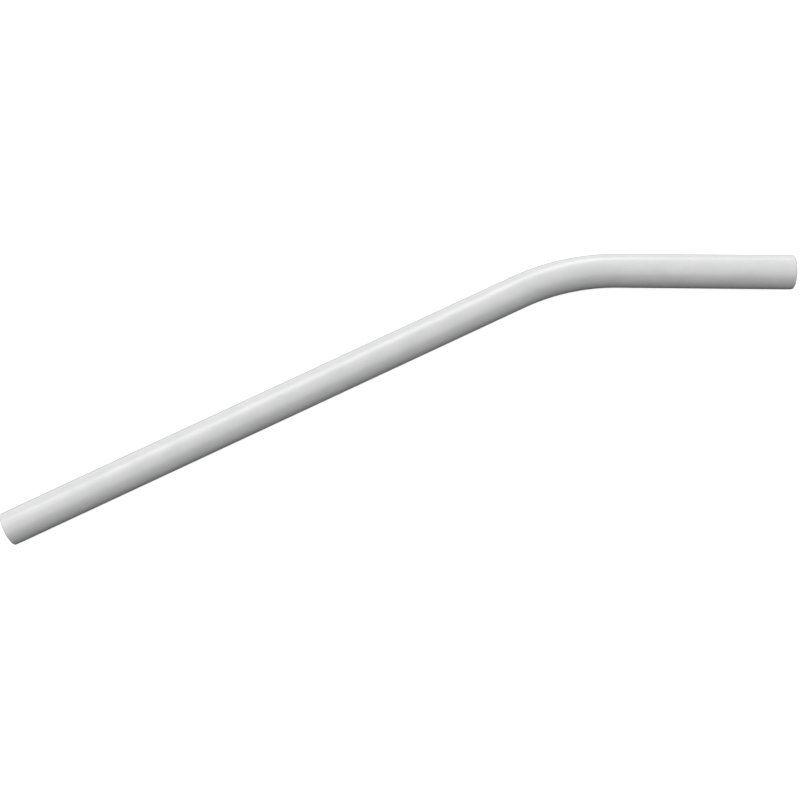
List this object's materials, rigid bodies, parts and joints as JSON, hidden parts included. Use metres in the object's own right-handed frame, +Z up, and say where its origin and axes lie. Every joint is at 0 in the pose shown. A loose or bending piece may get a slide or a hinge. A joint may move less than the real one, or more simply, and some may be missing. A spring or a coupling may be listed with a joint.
{
  "type": "saliva ejector tip",
  "caption": "Slim white plastic suction tube, open at both ends, with a bend near the mouth end and a soft steel wire in its wall that holds the bend.",
  "frame": {"origin": "centre of the tube's open base end, on the tube's centre line", "axes": "+X along the base leg from the base end toward the mouth, +Z up and square to the plane of the bend; the mouth leg turns toward -Y"},
  "size_m": [0.1504, 0.025, 0.0064],
  "materials": {
    "tube_pvc": "glossy opaque white extruded PVC",
    "shape_wire": "bright zinc-coated soft steel wire"
  },
  "bodies": {
    "base": {"tube_base_leg": "tube_pvc", "tube_bend": "tube_pvc", "wire_base_leg": "shape_wire", "wire_bend": "shape_wire"},
    "mouth": {"tube_mouth_leg": "tube_pvc", "wire_mouth_leg": "shape_wire"}
  },
  "joints": [
    {"name": "bend", "type": "hinge", "parent": "base", "child": "mouth", "pos_m": [0.11191, -0.00115, 0], "axis": [0, 0, -1], "range_deg": [-27.5, 62.5], "deforming": ["tube_bend", "wire_bend"]}
  ]
}
